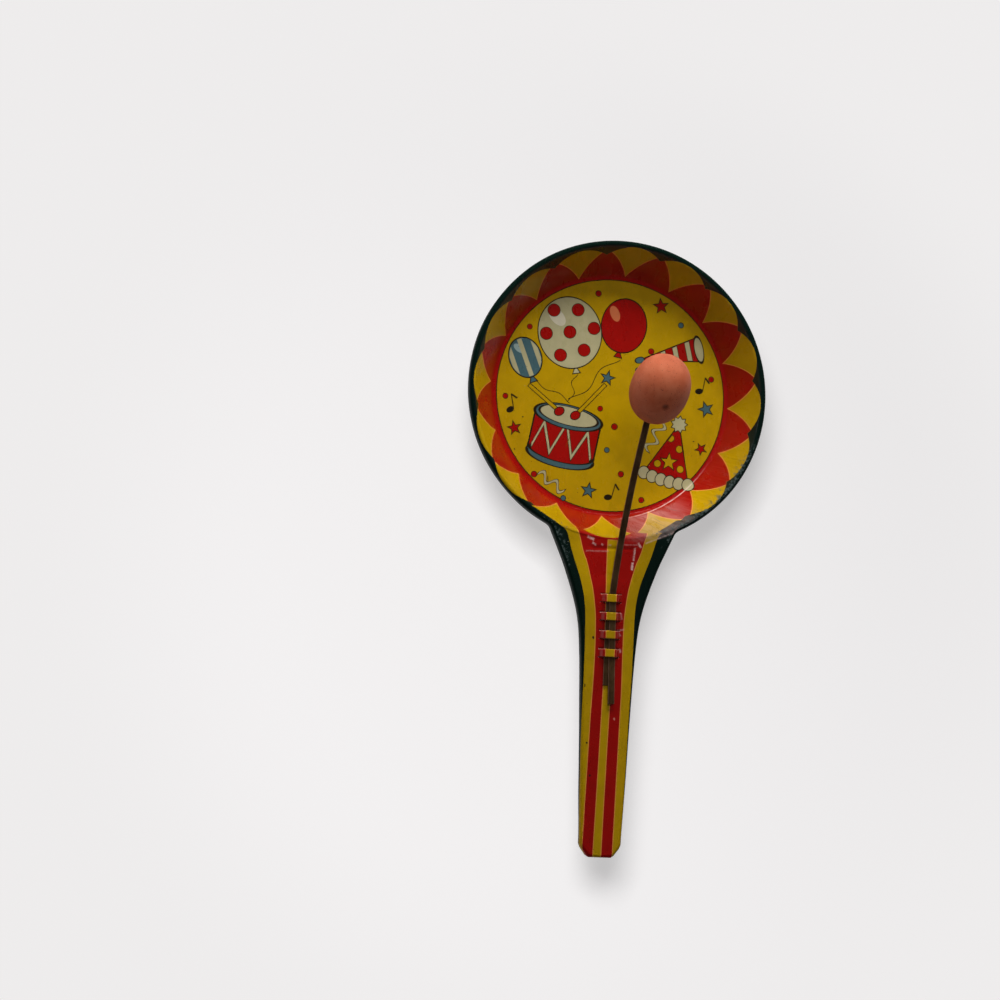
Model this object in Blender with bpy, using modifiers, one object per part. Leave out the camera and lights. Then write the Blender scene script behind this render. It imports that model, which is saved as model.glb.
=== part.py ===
"""Tin clapper noise maker: a pressed sheet with a dish and a handle, and two balls on spring strips."""

import math

import bmesh
import bpy
import numpy as np
from mathutils import Matrix, Vector

# All sizes are in millimetres and become metres when a mesh is made.
MM = 0.001

# Where the pan's centre stands in the frame, whose origin is under the toy's middle at its lowest point.
STAND = (0.0, 49.96, 38.55)

# Sheet: the printed face is up, the dish is centred on the Z axis, the handle runs toward -Y.
SHEET = 0.3
EDGE_ROUND = 1.07
EDGE_DEPTH = 4.0
DISH_DEPTH = 12.0
FLOOR_RADIUS = 39.2
FLOOR_RINGS = (9.0, 24.0)
WALL_LEAN = math.radians(56.0)
FLOOR_BEND = 1.5
CREST_BEND = 1.2
PAN_SIDES = 96
NECK_SIDES = 14
BEND_STEPS = 3

# Outer half widths of neck and handle, each with its distance from the pan's centre.
OUTLINE = (
    (45.0, 20.5),
    (48.0, 19.1),
    (52.0, 17.3),
    (56.0, 15.55),
    (60.0, 14.05),
    (64.0, 12.65),
    (68.0, 11.4),
    (72.0, 10.4),
    (76.0, 9.7),
    (84.0, 8.95),
    (90.0, 8.6),
    (105.0, 8.0),
    (126.0, 7.35),
    (145.0, 6.6),
)
# The soft inner corner where the neck leaves the pan, and the clipped end of the handle.
CORNER = ((20.3, 43.65), (19.55, 44.5))
HANDLE_END = ((144.5, 5.6), (145.4, 5.25), (147.5, 3.7), (147.85, 3.2))
NECK_ROWS = (46.0, 47.6, 49.6, 52.0, 54.6, 57.2, 60.0, 63.0, 66.0)
HANDLE_ROWS = (69.0, 72.0, 76.0, 81.0, 87.0, 96.0, 110.0, 128.0)
ARC_GONE = 60.0
ARC_FADE = 1.3

# Loops: four bands cut free on two sides and pushed up, with the strips threaded under them.
LOOP_COUNT = 4
LOOP_FIRST = 66.85
LOOP_PITCH = 5.83
LOOP_WIDTH = 2.6
LOOP_SLIT = 0.15
LOOP_OPENING = 3.4
LOOP_CUT = (-2.0, 0.6)
LOOP_ARCH = (
    (3.62, -0.2),
    (3.45, 0.15),
    (3.25, 0.75),
    (3.0, 1.3),
    (2.5, 1.6),
    (1.5, 1.68),
    (0.0, 1.7),
)
LOOP_THICKNESS = 0.3

# Spring strips.
STRIP_WIDTH = 2.1
STRIP_THICKNESS = 0.35
STRIP_GAP = 0.2
STRIP_IN_BALL = 11.0
FRONT_TAIL = (1.17, 100.4)
FRONT_SIDE = 0.3
FRONT_BEND_AT = 65.2
FRONT_ENTRY = (4.03, -12.84, 21.0)
FRONT_FIRST_SLOPE = 0.09
FRONT_LAST_SLOPE = 0.6
REAR_SIDE = -0.6
REAR_TAIL = 94.5
REAR_PATH = (
    (68.5, 0.375, 0.0),
    (65.3, -0.83, -0.45),
    (39.2, -15.2, -0.5),
    (13.2, -25.5, -0.3),
)
STRIP_STEP = 3.75
LEAST_STEPS = 4

# Wooden balls: olives, longer along the strip than across it.
BALL_HALF_LENGTH = 11.35
BALL_RADIUS = 9.35
BALL_FULLNESS = 2.12
BALL_SIDES = 40
BALL_RINGS = 22
BALL_SLOT_GAP = 0.2
BALL_SLOT_MOUTH = 6.0
FRONT_BALL = (6.39, -2.37, 27.0)
REAR_BALL_STEP = 11.4

# A distance too small to matter, and the corner above which an edge is shaded sharp.
TINY = 0.001
SHARP_ANGLE = 30.0


def clear_scene():
    for old in list(bpy.data.objects):
        bpy.data.objects.remove(old, do_unlink=True)


def collection(name):
    made = bpy.data.collections.new(name)
    bpy.context.scene.collection.children.link(made)
    return made


def material(name, colour, metallic, roughness):
    made = bpy.data.materials.new(name)
    made.use_nodes = True
    shader = made.node_tree.nodes["Principled BSDF"]
    shader.inputs["Base Color"].default_value = (*colour, 1.0)
    shader.inputs["Metallic"].default_value = metallic
    shader.inputs["Roughness"].default_value = roughness
    return made


def new_object(name, work, into, paint=None):
    """An object that takes over a bmesh drawn in millimetres."""
    bmesh.ops.scale(work, vec=(MM, MM, MM), verts=work.verts)
    mesh = bpy.data.meshes.new(name)
    work.to_mesh(mesh)
    work.free()
    made = bpy.data.objects.new(name, mesh)
    into.objects.link(made)
    if paint:
        mesh.materials.append(paint)
    return made


def draw_line(work, points):
    """Vertices and edges of an open line."""
    verts = [work.verts.new(p) for p in points]
    edges = [work.edges.new(pair) for pair in zip(verts, verts[1:])]
    return verts, edges


def extrude_row(work, edges):
    """Extrude a row of edges in place: the new edges, and each old vertex with its new one."""
    old = {v for e in edges for v in e.verts}
    made = bmesh.ops.extrude_edge_only(work, edges=edges)["geom"]
    new = {v for v in made if isinstance(v, bmesh.types.BMVert)}
    row = [e for e in made if isinstance(e, bmesh.types.BMEdge) and set(e.verts) <= new]
    pairs = {}
    for vert in new:
        for edge in vert.link_edges:
            if edge.other_vert(vert) in old:
                pairs[edge.other_vert(vert)] = vert
    return row, pairs


def face_way(work, face, way):
    """Make all normals agree, with this face's normal along the given way."""
    bmesh.ops.recalc_face_normals(work, faces=work.faces)
    face.normal_update()
    if face.normal.dot(Vector(way)) < 0:
        bmesh.ops.reverse_faces(work, faces=work.faces)


def add_box(work, low, high):
    low, high = Vector(low), Vector(high)
    place = Matrix.Translation((low + high) / 2) @ Matrix.Diagonal((*(high - low), 1.0))
    bmesh.ops.create_cube(work, size=1.0, matrix=place)


def thicken(obj, thickness, offset):
    solid = obj.modifiers.new("thickness", "SOLIDIFY")
    solid.thickness = thickness * MM
    solid.offset = offset
    solid.use_even_offset = True


def carve(obj, tool, operation):
    step = obj.modifiers.new(tool.name, "BOOLEAN")
    step.operation = operation
    step.solver = "EXACT"
    step.object = tool


def hold(obj, parent, place=(0, 0, 0)):
    """Parent an object and place it, in millimetres from the parent."""
    obj.parent = parent
    obj.location = Vector(place) * MM


def pivot(name, place, parent):
    made = bpy.data.objects.new(name, None)
    made.empty_display_size = 0.01
    bpy.context.scene.collection.objects.link(made)
    hold(made, parent, place)
    return made


def shade(obj, degrees):
    obj.data.shade_smooth()
    obj.data.set_sharp_from_angle(angle=math.radians(degrees))


def hermite(a, b, slope_a, slope_b, share):
    """A cubic from a to b over a unit step, with its slopes at both ends given per step."""
    s2, s3 = share * share, share**3
    return (
        (2 * s3 - 3 * s2 + 1) * a
        + (s3 - 2 * s2 + share) * slope_a
        + (3 * s2 - 2 * s3) * b
        + (s3 - s2) * slope_b
    )


def outline_at(distance):
    """The outer half width of neck or handle at this distance, along a smooth line."""
    reach = np.array([row[0] for row in OUTLINE])
    half = np.array([row[1] for row in OUTLINE])
    slopes = np.gradient(half, reach)
    k = int(np.clip(np.searchsorted(reach, distance) - 1, 0, len(reach) - 2))
    step = reach[k + 1] - reach[k]
    share = (distance - reach[k]) / step
    return hermite(half[k], half[k + 1], slopes[k] * step, slopes[k + 1] * step, share)


def inset_at(distance):
    """Half width where the rounding of the edge begins, square to the outline."""
    slope = (outline_at(distance + TINY) - outline_at(distance - TINY)) / (2 * TINY)
    return outline_at(distance) - EDGE_ROUND * math.hypot(1.0, slope)


def bend(corner, before, after, radius, steps):
    """Points of a round bend between two directions that meet at a corner."""
    corner, before, after = (Vector(v) for v in (corner, before, after))
    turn = before.angle(after)
    reach = radius * math.tan(turn / 2)
    start, end = corner - before * reach, corner + after * reach
    made = []
    for k in range(steps + 1):
        s = k / steps
        made.append(start.lerp(corner, s).lerp(corner.lerp(end, s), s))
    return made


def dish_profile():
    """Radius and height of the printed face from near the centre to the crest of the rim."""
    up = (math.cos(WALL_LEAN), math.sin(WALL_LEAN))
    crest_radius = FLOOR_RADIUS + DISH_DEPTH / math.tan(WALL_LEAN)
    rows = [(radius, -DISH_DEPTH) for radius in FLOOR_RINGS]
    rows += bend((FLOOR_RADIUS, -DISH_DEPTH), (1, 0), up, FLOOR_BEND, BEND_STEPS)
    rows += bend((crest_radius, 0.0), up, (1, 0), CREST_BEND, BEND_STEPS)
    return [(row[0], row[1]) for row in rows]


def neck_rows(first_reach):
    """Distance, half width and remaining bulge of each row across neck and handle."""
    rows = [(reach, half) for half, reach in CORNER]
    rows += [(reach, inset_at(reach)) for reach in NECK_ROWS + HANDLE_ROWS]
    rows += HANDLE_END
    made = []
    for reach, half in rows:
        fade = max(0.0, (ARC_GONE - reach) / (ARC_GONE - first_reach))
        made.append((reach, half, fade**ARC_FADE))
    return made


def border_walk(edges):
    """The vertices of a closed border in order, anticlockwise from above."""
    here, last = edges[0].verts[1], edges[0]
    walk = [here]
    while here != edges[0].verts[0]:
        last = next(e for e in here.link_edges if e.is_boundary and e != last)
        here = last.other_vert(here)
        walk.append(here)
    area = sum(a.co.x * b.co.y - b.co.x * a.co.y for a, b in zip(walk, walk[1:] + walk[:1]))
    return walk if area > 0 else walk[::-1]


def outward_ways(walk):
    """For each vertex of the border, the way out that keeps an even distance from both edges."""
    ways = {}
    for k, vert in enumerate(walk):
        before = (vert.co - walk[k - 1].co).normalized()
        after = (walk[(k + 1) % len(walk)].co - vert.co).normalized()
        way = (before + after).cross(Vector((0, 0, 1))).normalized()
        ways[vert] = way / max(0.5, math.sqrt((1 + before.dot(after)) / 2))
    return ways


def sheet_surface():
    """The printed face as one open surface, with the turned-down edge all round."""
    work = bmesh.new()
    line = [Vector((0.0, 0.0, -DISH_DEPTH))] + [Vector((0.0, -r, z)) for r, z in dish_profile()]
    verts, edges = draw_line(work, line)
    bmesh.ops.spin(
        work,
        geom=verts + edges,
        axis=(0, 0, 1),
        cent=(0, 0, 0),
        angle=2 * math.pi,
        steps=PAN_SIDES,
        use_merge=True,
    )
    bmesh.ops.remove_doubles(work, verts=work.verts, dist=TINY)

    # Rows across the neck are scaled copies of the pan's arc that flatten toward the loops.
    sector = math.pi * NECK_SIDES / PAN_SIDES + TINY
    row = []
    for edge in work.edges:
        middle = (edge.verts[0].co + edge.verts[1].co) / 2
        if edge.is_boundary and abs(math.atan2(middle.x, -middle.y)) < sector:
            row.append(edge)
    arc = {v: v.co.copy() for e in row for v in e.verts}
    first_half = max(p.x for p in arc.values())
    first_reach = min(-p.y for p in arc.values())
    for reach, half, bulge in neck_rows(first_reach):
        row, pairs = extrude_row(work, row)
        shapes = {new: arc[old] for old, new in pairs.items()}
        for vert, shape in shapes.items():
            drop = (-first_reach - shape.y) * bulge
            vert.co = (shape.x * half / first_half, -reach - drop, 0.0)
        arc = shapes

    # The border is rolled over and turned down in a few steps.
    border = [e for e in work.edges if e.is_boundary]
    walk = border_walk(border)
    ways = outward_ways(walk)
    base = {vert: vert.co.copy() for vert in walk}
    steps = []
    for k in range(1, BEND_STEPS + 1):
        angle = math.pi / 2 * k / BEND_STEPS
        steps.append((EDGE_ROUND * math.sin(angle), -EDGE_ROUND * (1 - math.cos(angle))))
    steps.append((EDGE_ROUND, -EDGE_DEPTH))
    for out, height in steps:
        border, pairs = extrude_row(work, border)
        ways = {new: ways[old] for old, new in pairs.items()}
        base = {new: base[old] for old, new in pairs.items()}
        for vert, way in ways.items():
            vert.co = base[vert] + way * out + Vector((0, 0, height))
    floor = min(work.faces, key=lambda f: f.calc_center_median().xy.length)
    face_way(work, floor, (0, 0, 1))
    return work


def loop_places():
    return [-LOOP_FIRST - k * LOOP_PITCH for k in range(LOOP_COUNT)]


def loop_openings():
    work = bmesh.new()
    half = LOOP_WIDTH / 2 + LOOP_SLIT
    for y in loop_places():
        low = (-LOOP_OPENING, y - half, LOOP_CUT[0])
        high = (LOOP_OPENING, y + half, LOOP_CUT[1])
        add_box(work, low, high)
    return work


def loop_bands():
    """Four arch lines, each drawn out over the width of its band."""
    work = bmesh.new()
    arch = [(x, z) for x, z in LOOP_ARCH] + [(-x, z) for x, z in LOOP_ARCH[-2::-1]]
    for y in loop_places():
        line = [(x, y - LOOP_WIDTH / 2, z) for x, z in arch]
        edges = draw_line(work, line)[1]
        pairs = extrude_row(work, edges)[1]
        bmesh.ops.translate(work, verts=list(pairs.values()), vec=(0, LOOP_WIDTH, 0))
    bmesh.ops.recalc_face_normals(work, faces=work.faces)
    for face in work.faces:
        if face.normal.z < -TINY:
            face.normal_flip()
    return work


def ribbon(name, path, into, paint):
    """A flat strip: its path drawn out to the strip's width, then given thickness."""
    work = bmesh.new()
    sides = []
    for k in range(len(path)):
        along = path[min(k + 1, len(path) - 1)] - path[max(k - 1, 0)]
        sides.append(along.cross(Vector((0, 0, 1))).normalized() * STRIP_WIDTH)
    line = [here - side / 2 for here, side in zip(path, sides)]
    verts, edges = draw_line(work, line)
    pairs = extrude_row(work, edges)[1]
    for vert, side in zip(verts, sides):
        pairs[vert].co = vert.co + side
    made = new_object(name, work, into, paint)
    thicken(made, STRIP_THICKNESS, 0.0)
    return made


def front_path():
    level = 2 * STRIP_GAP + 1.5 * STRIP_THICKNESS
    tail = Vector((FRONT_TAIL[0], -FRONT_TAIL[1], level))
    start = Vector((FRONT_SIDE, -FRONT_BEND_AT, level))
    entry = Vector(FRONT_ENTRY)
    flat = math.hypot(entry.x - start.x, entry.y - start.y)
    path = [tail, tail.lerp(start, 0.5), start]
    steps = round(flat / STRIP_STEP)
    for k in range(1, steps + 1):
        share = k / steps
        here = start.lerp(entry, share)
        here.z = hermite(
            start.z, entry.z, FRONT_FIRST_SLOPE * flat, FRONT_LAST_SLOPE * flat, share
        )
        path.append(here)
    along = (path[-1] - path[-2]).normalized()
    path.append(entry + along * STRIP_IN_BALL)
    return path


def rear_path():
    level = REAR_PATH[0][1]
    path = [Vector((REAR_SIDE, -REAR_TAIL, level)), Vector((REAR_SIDE, -REAR_PATH[0][0], level))]
    for first, second in zip(REAR_PATH, REAR_PATH[1:]):
        run = first[0] - second[0]
        steps = max(LEAST_STEPS, round(run / STRIP_STEP))
        for k in range(1, steps + 1):
            share = k / steps
            z = hermite(first[1], second[1], first[2] * run, second[2] * run, share)
            path.append(Vector((REAR_SIDE, -first[0] + run * share, z)))
    along = (path[-1] - path[-2]).normalized()
    path.append(path[-1] + along * STRIP_IN_BALL)
    return path


def ball(name, centre, way, path, holder, into, tools, paint):
    """An olive turned about its own axis, with a slot for the strip that enters its lower end."""
    turned = []
    for k in range(BALL_RINGS + 1):
        angle = math.pi * k / BALL_RINGS
        high, wide = math.cos(angle), math.sin(angle)
        swell = (abs(high) ** BALL_FULLNESS + wide**BALL_FULLNESS) ** (-1 / BALL_FULLNESS)
        turned.append((BALL_RADIUS * wide * swell, 0.0, BALL_HALF_LENGTH * high * swell))
    work = bmesh.new()
    draw_line(work, turned)
    made = new_object(name, work, into, paint)
    turn = made.modifiers.new("turn", "SCREW")
    turn.axis = "Z"
    turn.steps = BALL_SIDES
    turn.render_steps = BALL_SIDES
    turn.use_merge_vertices = True
    turn.merge_threshold = 0.000001
    turn.use_smooth_shade = True
    hold(made, holder, centre - holder.location / MM)
    made.rotation_mode = "QUATERNION"
    made.rotation_quaternion = way.to_track_quat("Z", "Y")

    # The slot follows the straight end of the strip, a little wider and deeper than it.
    start, end = path[-2], path[-1]
    along = (end - start).normalized()
    across = along.cross(Vector((0, 0, 1))).normalized()
    frame = Matrix((across, along, across.cross(along))).transposed().to_4x4()
    half_across = STRIP_WIDTH / 2 + BALL_SLOT_GAP
    half_over = STRIP_THICKNESS / 2 + BALL_SLOT_GAP
    work = bmesh.new()
    low = (-half_across, -BALL_SLOT_MOUTH, -half_over)
    high = (half_across, STRIP_IN_BALL + BALL_SLOT_GAP, half_over)
    add_box(work, low, high)
    bmesh.ops.transform(work, matrix=Matrix.Translation(start) @ frame, verts=work.verts)
    slot = new_object(name + "_slot", work, tools)
    hold(slot, holder, -holder.location / MM)
    carve(made, slot, "DIFFERENCE")


def main():
    clear_scene()
    parts = collection("tin_clapper")
    tools = collection("cutters")
    tin = material("printed_tin", (0.55, 0.38, 0.02), 0.1, 0.35)
    steel = material("strip_steel", (0.16, 0.12, 0.09), 0.9, 0.45)
    steel_rear = material("strip_steel_rear", (0.15, 0.12, 0.1), 0.9, 0.45)
    wood = material("painted_wood", (0.72, 0.28, 0.2), 0.0, 0.6)
    wood_rear = material("painted_wood_rear", (0.7, 0.27, 0.2), 0.0, 0.6)
    stand = pivot("toy_frame", STAND, None)

    sheet = new_object("pressed_sheet", sheet_surface(), parts, tin)
    hold(sheet, stand)
    thicken(sheet, SHEET, -1.0)
    openings = new_object("loop_openings", loop_openings(), tools)
    bands = new_object("loop_bands", loop_bands(), tools)
    thicken(bands, LOOP_THICKNESS, -1.0)
    for tool, operation in ((openings, "DIFFERENCE"), (bands, "UNION")):
        hold(tool, stand)
        carve(sheet, tool, operation)
    shade(sheet, SHARP_ANGLE)

    front, rear = front_path(), rear_path()
    front_pivot = pivot("front_clapper_pivot", front[2], stand)
    rear_pivot = pivot("rear_clapper_pivot", (REAR_SIDE, -REAR_PATH[1][0], REAR_PATH[1][1]), stand)
    front_strip = ribbon("front_strip", front, parts, steel)
    rear_strip = ribbon("rear_strip", rear, parts, steel_rear)
    hold(front_strip, front_pivot, -front_pivot.location / MM)
    hold(rear_strip, rear_pivot, -rear_pivot.location / MM)
    centre = Vector(FRONT_BALL)
    ball("front_ball", centre, centre - front[-2], front, front_pivot, parts, tools, wood)
    along = (rear[-1] - rear[-2]).normalized()
    centre = rear[-2] + along * REAR_BALL_STEP
    ball("rear_ball", centre, along, rear, rear_pivot, parts, tools, wood_rear)
    for tool in tools.objects:
        tool.hide_render = True
        tool.display_type = "WIRE"


main()
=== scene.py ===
"""Looks of the tin clapper: printed sheet, spring strips, wooden balls, floor, light and camera."""

import math

import bmesh
import bpy
import numpy as np
from mathutils import Matrix, Vector, noise


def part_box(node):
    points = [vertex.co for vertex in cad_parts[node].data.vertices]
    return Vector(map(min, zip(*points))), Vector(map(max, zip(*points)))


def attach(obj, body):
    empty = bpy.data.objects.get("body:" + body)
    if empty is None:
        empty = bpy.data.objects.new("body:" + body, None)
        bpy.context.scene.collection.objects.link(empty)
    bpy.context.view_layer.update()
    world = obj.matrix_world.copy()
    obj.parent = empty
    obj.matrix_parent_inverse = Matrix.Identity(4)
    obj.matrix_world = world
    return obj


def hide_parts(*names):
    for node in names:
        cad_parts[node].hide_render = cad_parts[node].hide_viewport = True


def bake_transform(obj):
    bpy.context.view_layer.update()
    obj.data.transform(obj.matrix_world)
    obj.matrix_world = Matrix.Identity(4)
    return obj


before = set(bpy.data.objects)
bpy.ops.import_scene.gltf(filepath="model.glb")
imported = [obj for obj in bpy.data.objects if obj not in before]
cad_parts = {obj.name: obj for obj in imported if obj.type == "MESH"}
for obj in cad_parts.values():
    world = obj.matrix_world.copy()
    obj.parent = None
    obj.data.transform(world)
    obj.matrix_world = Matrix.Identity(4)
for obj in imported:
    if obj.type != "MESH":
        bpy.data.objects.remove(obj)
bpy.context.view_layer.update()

# Sizes are in millimetres from the pan's centre, with the rim and the handle's face at height 0.
MM = 0.001
SHEET = 0.3
DISH_DEPTH = 12.0
sheet_low, sheet_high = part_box("pressed_sheet")
PAN_RADIUS = (sheet_high.x - sheet_low.x) / 2
ORIGIN = Vector(
    (
        (sheet_low.x + sheet_high.x) / 2,
        sheet_high.y - PAN_RADIUS,
        sheet_low.z + (DISH_DEPTH + SHEET) * MM,
    )
)

# Camera: where it stands and what it looks at, in metres, and which way is up in its picture.
EYE = Vector((-0.18505, -0.06033, 0.81448))
AIM = Vector((-0.0375, 0.01232, 0.03855))
UPWARD = Vector((-0.0622, 0.9947, 0.0813))
LENS = 90.0
SENSOR = 36.0

# Pan.
EDGE_ROUND = 1.07
EDGE_DEPTH = 4.0
FLOOR_RADIUS = 39.2
WALL_LEAN = math.radians(56.0)
FLOOR_BEND = 1.5
CREST_BEND = 1.2
PAN_SIDES = 480
NECK_COLUMNS = 70
FLOOR_STEPS = 12
BEND_STEPS = 7
WALL_STEPS = 16
ROLL_STEPS = 7
DROP_STEPS = 4
LIP_STEP = 2

# Rows of points across the neck and the handle: where they start, end and how far apart they are.
FILLET_ROWS = (43.2, 43.65, 44.05, 44.5, 45.2)
NECK_ROWS = (46.0, 65.0, 0.45)
NECK_FLATTENS = (48.0, 64.0)
LOOP_ROWS = 7
HANDLE_ROWS_TO = 144.0
HANDLE_ROWS_STEP = 1.9
SAME = 0.001

# Neck and handle: distance from the pan's centre and outer half width.
OUTLINE = (
    (45.0, 20.5), (48.0, 19.1), (52.0, 17.3), (56.0, 15.55), (60.0, 14.05), (64.0, 12.65),
    (68.0, 11.4), (72.0, 10.4), (76.0, 9.7), (84.0, 8.95), (90.0, 8.6), (105.0, 8.0),
    (126.0, 7.35), (145.0, 6.6),
)
CORNER = ((43.65, 20.3), (44.5, 19.55))
HANDLE_END = ((144.5, 5.6), (145.4, 5.25), (146.45, 4.48), (147.5, 3.7), (147.85, 3.2))
ARC_GONE = 60.0
ARC_FADE = 1.3

# Loops.
LOOP_COUNT = 4
LOOP_FIRST = 66.85
LOOP_PITCH = 5.83
LOOP_WIDTH = 2.6
LOOP_SLIT = 0.04
LOOP_LAP = 0.3
LOOP_FOOT = 3.5
LOOP_FLAT = 1.75
LOOP_HEIGHT = 1.68
LOOP_COLUMNS = 15

# Spring strips.
STRIP_WIDTH = 2.1
STRIP_THICKNESS = 0.35
STRIP_GAP = 0.2
STRIP_IN_BALL = 11.0
STRIP_CORNER = 0.07
STRIP_STEPS = 110
TAIL_STEPS = 40
REAR_STEP = 0.5
IN_BALL_STEPS = 8
STRIP_SHARP = math.radians(50.0)
FRONT_TAIL = (1.17, 100.4)
FRONT_SIDE = 0.3
FRONT_BEND_AT = 65.2
FRONT_ENTRY = Vector((4.03, -12.84, 21.0))
FRONT_SLOPES = (0.09, 0.6)
REAR_SIDE = -0.6
REAR_TAIL = 94.5
REAR_PATH = (
    (68.5, 0.375, 0.0), (65.3, -0.83, -0.45), (39.2, -15.2, -0.5), (13.2, -25.5, -0.3),
)

# Unevenness of the pressed sheet, always into it: dents, the panel sunk into the neck, and the
# crease above it.
DENT_DEPTH = 0.14
DENT_SIZE = 13.0
PANEL_DEPTH = 0.26
PANEL_HALF = 6.9
PANEL_EDGE = 0.55
PANEL_FROM = 50.6
PANEL_TO = 63.0
PANEL_SOFT = (0.5, 4.0)
PANEL_VARIES = 0.7
CREASE_DEPTH = 0.16
CREASE_WIDTH = 0.7
CREASE_SIDES = (-9.0, -6.0)

# How much the turned edge varies in depth and in lean, and its lean inward.
DROP_VARIES = 0.3
LEAN_VARIES = 0.12
LEAN_IN = 0.1

# Stage: tones, and the share of real light on the floor near the object.
FLOOR_TONE = (0.855, 0.84, 0.84, 1.0)
FLOOR_LIT = 0.72
FLOOR_LIGHT = 0.635
FLOOR_SLOPE = 0.7
FLOOR_NEAR = 0.1
FLOOR_FAR = 0.19
FLOOR_SIZE = 4.0
FLOOR_DROP = 0.0002
WORLD_FILL = (0.048, 0.048, 0.052, 1.0)
WORLD_TOP = (0.05, 0.05, 0.05, 1.0)

# Lamps: degrees from the camera's axis and degrees left of the picture's top, then distance, width,
# height and level.
KEY = (70.0, -12.0, 0.42, 0.28, 0.16, 1.13)
WINDOW = (66.0, 42.0, 0.8, 0.6, 0.009, 0.045)
OVERHEAD = (25.0, -15.0, 0.9, 0.25, 0.25, 0.22)
FLOOR_LAMP = (15.0, 18.0, 0.9, 0.25, 0.25, 0.72)

# Wooden balls.
BALL_HALF_LENGTH = 11.35
BALL_RADIUS = 9.35
BALL_FULLNESS = 2.12
BALL_SIDES = 168
BALL_RINGS = 108
FRONT_BALL = Vector((6.39, -2.37, 27.0))
REAR_BALL_STEP = 11.4
FLAT_DEPTH = 0.1
FLAT_SIZE = 6.0
PIT_TOWARD = np.array((0.0415, -0.699, 0.714))
PIT_DEPTH = 0.35
PIT_SIZE = 0.95


def tint(red, green, blue):
    """A colour as read on a screen, 0 to 255, turned into the linear colour that Blender uses."""
    made = []
    for part in (red, green, blue):
        part /= 255
        made.append(part / 12.92 if part <= 0.04045 else ((part + 0.055) / 1.055) ** 2.4)
    return (*made, 1.0)


YELLOW = tint(191, 151, 4)
RED = tint(164, 14, 8)
GREEN = tint(5, 25, 19)
CREAM = tint(184, 176, 134)
BLUE = tint(72, 102, 108)
BLACK = tint(36, 28, 16)
BARE = tint(118, 132, 130)


# Where Blender's Mix node keeps its two colours and their mixture.
COLOUR_A, COLOUR_B, COLOUR_OUT = 6, 7, 2


# Fields: numbers and places that vary over a surface, as sockets of a material's node tree.
def feed(socket, value):
    """Link a field to an input, or set the input's own value."""
    if isinstance(value, Field):
        socket.id_data.links.new(value.socket, socket)
    else:
        socket.default_value = value


class Field:
    """One output of a node tree, with the usual arithmetic."""

    def __init__(self, socket):
        self.socket = socket

    def new(self, kind, inputs, out=0, **settings):
        """The output of a new node, whose inputs are given in order or by name."""
        node = self.socket.id_data.nodes.new("ShaderNode" + kind)
        for name, value in settings.items():
            setattr(node, name, value)
        for key, value in inputs.items() if isinstance(inputs, dict) else enumerate(inputs):
            feed(node.inputs[key], value)
        return Field(node.outputs[out])

    def math(self, operation, *others):
        return self.new("Math", (self, *others), operation=operation)

    def vector(self, operation, *others, out="Vector"):
        return self.new("VectorMath", (self, *others), out, operation=operation)

    def __add__(self, other):
        return self.math("ADD", other)

    def __sub__(self, other):
        return self.math("SUBTRACT", other)

    def __mul__(self, other):
        return self.math("MULTIPLY", other)

    def __abs__(self):
        return self.math("ABSOLUTE")

    def __neg__(self):
        return self.math("MULTIPLY", -1.0)

    def least(self, other):
        return self.math("MINIMUM", other)

    def most(self, *others):
        made = self
        for other in others:
            made = made.math("MAXIMUM", other)
        return made

    def map(self, low, high, to_low=0.0, to_high=1.0, soft=False):
        """Carry low..high over to to_low..to_high, held at both ends."""
        kind = "SMOOTHSTEP" if soft else "LINEAR"
        inputs = (self, low, high, to_low, to_high)
        return self.new("MapRange", inputs, interpolation_type=kind)

    def curve(self, points, low, high):
        """A smooth curve through points (input, output), with outputs in millimetres."""
        made = self.new("FloatCurve", {"Value": self.map(low, high)})
        mapping = made.socket.node.mapping
        line = mapping.curves[0]
        top = max(out for _, out in points)
        for _ in range(len(points) - len(line.points)):
            line.points.new(0.5, 0.5)
        for spot, (into, out) in zip(line.points, points):
            spot.location = ((into - low) / (high - low), out / top)
        mapping.update()
        return made * top

    def to(self, x, y):
        """Distance from the point x, y."""
        return self.vector("DISTANCE", (x, y, 0.0), out="Value")

    def with_up(self, up):
        """A place from two numbers that vary."""
        return self.new("CombineXYZ", (self, up))

    def parts(self):
        return [Field(out) for out in self.new("SeparateXYZ", (self,)).socket.node.outputs]

    def noise(self, scale, detail=2.0, roughness=0.5, stretch=(1.0, 1.0, 1.0)):
        place = self.vector("MULTIPLY", stretch)
        inputs = {"Vector": place, "Scale": scale, "Detail": detail, "Roughness": roughness}
        return self.new("TexNoise", inputs, "Fac")

    def cells(self, scale, out="Distance"):
        return self.new("TexVoronoi", {"Vector": self, "Scale": scale}, out)

    def mix(self, under, over):
        """The colour over where this field is 1, the colour under where it is 0."""
        inputs = {"Factor": self, COLOUR_A: under, COLOUR_B: over}
        return self.new("Mix", inputs, COLOUR_OUT, data_type="RGBA")


def new_material(name):
    made = bpy.data.materials.new(name)
    made.use_nodes = True
    return made


def stored(made, name, out="Vector"):
    """What the mesh stores under this name."""
    node = made.node_tree.nodes.new("ShaderNodeAttribute")
    node.attribute_name = name
    return Field(node.outputs[out])


def dressed(made, looks, height):
    """Give a material its shader's inputs and a bump with this height in millimetres."""
    shader = made.node_tree.nodes["Principled BSDF"]
    for name, value in looks.items():
        feed(shader.inputs[name], value)
    feed(shader.inputs["Normal"], height.new("Bump", {"Distance": MM, "Height": height}))
    return made


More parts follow.
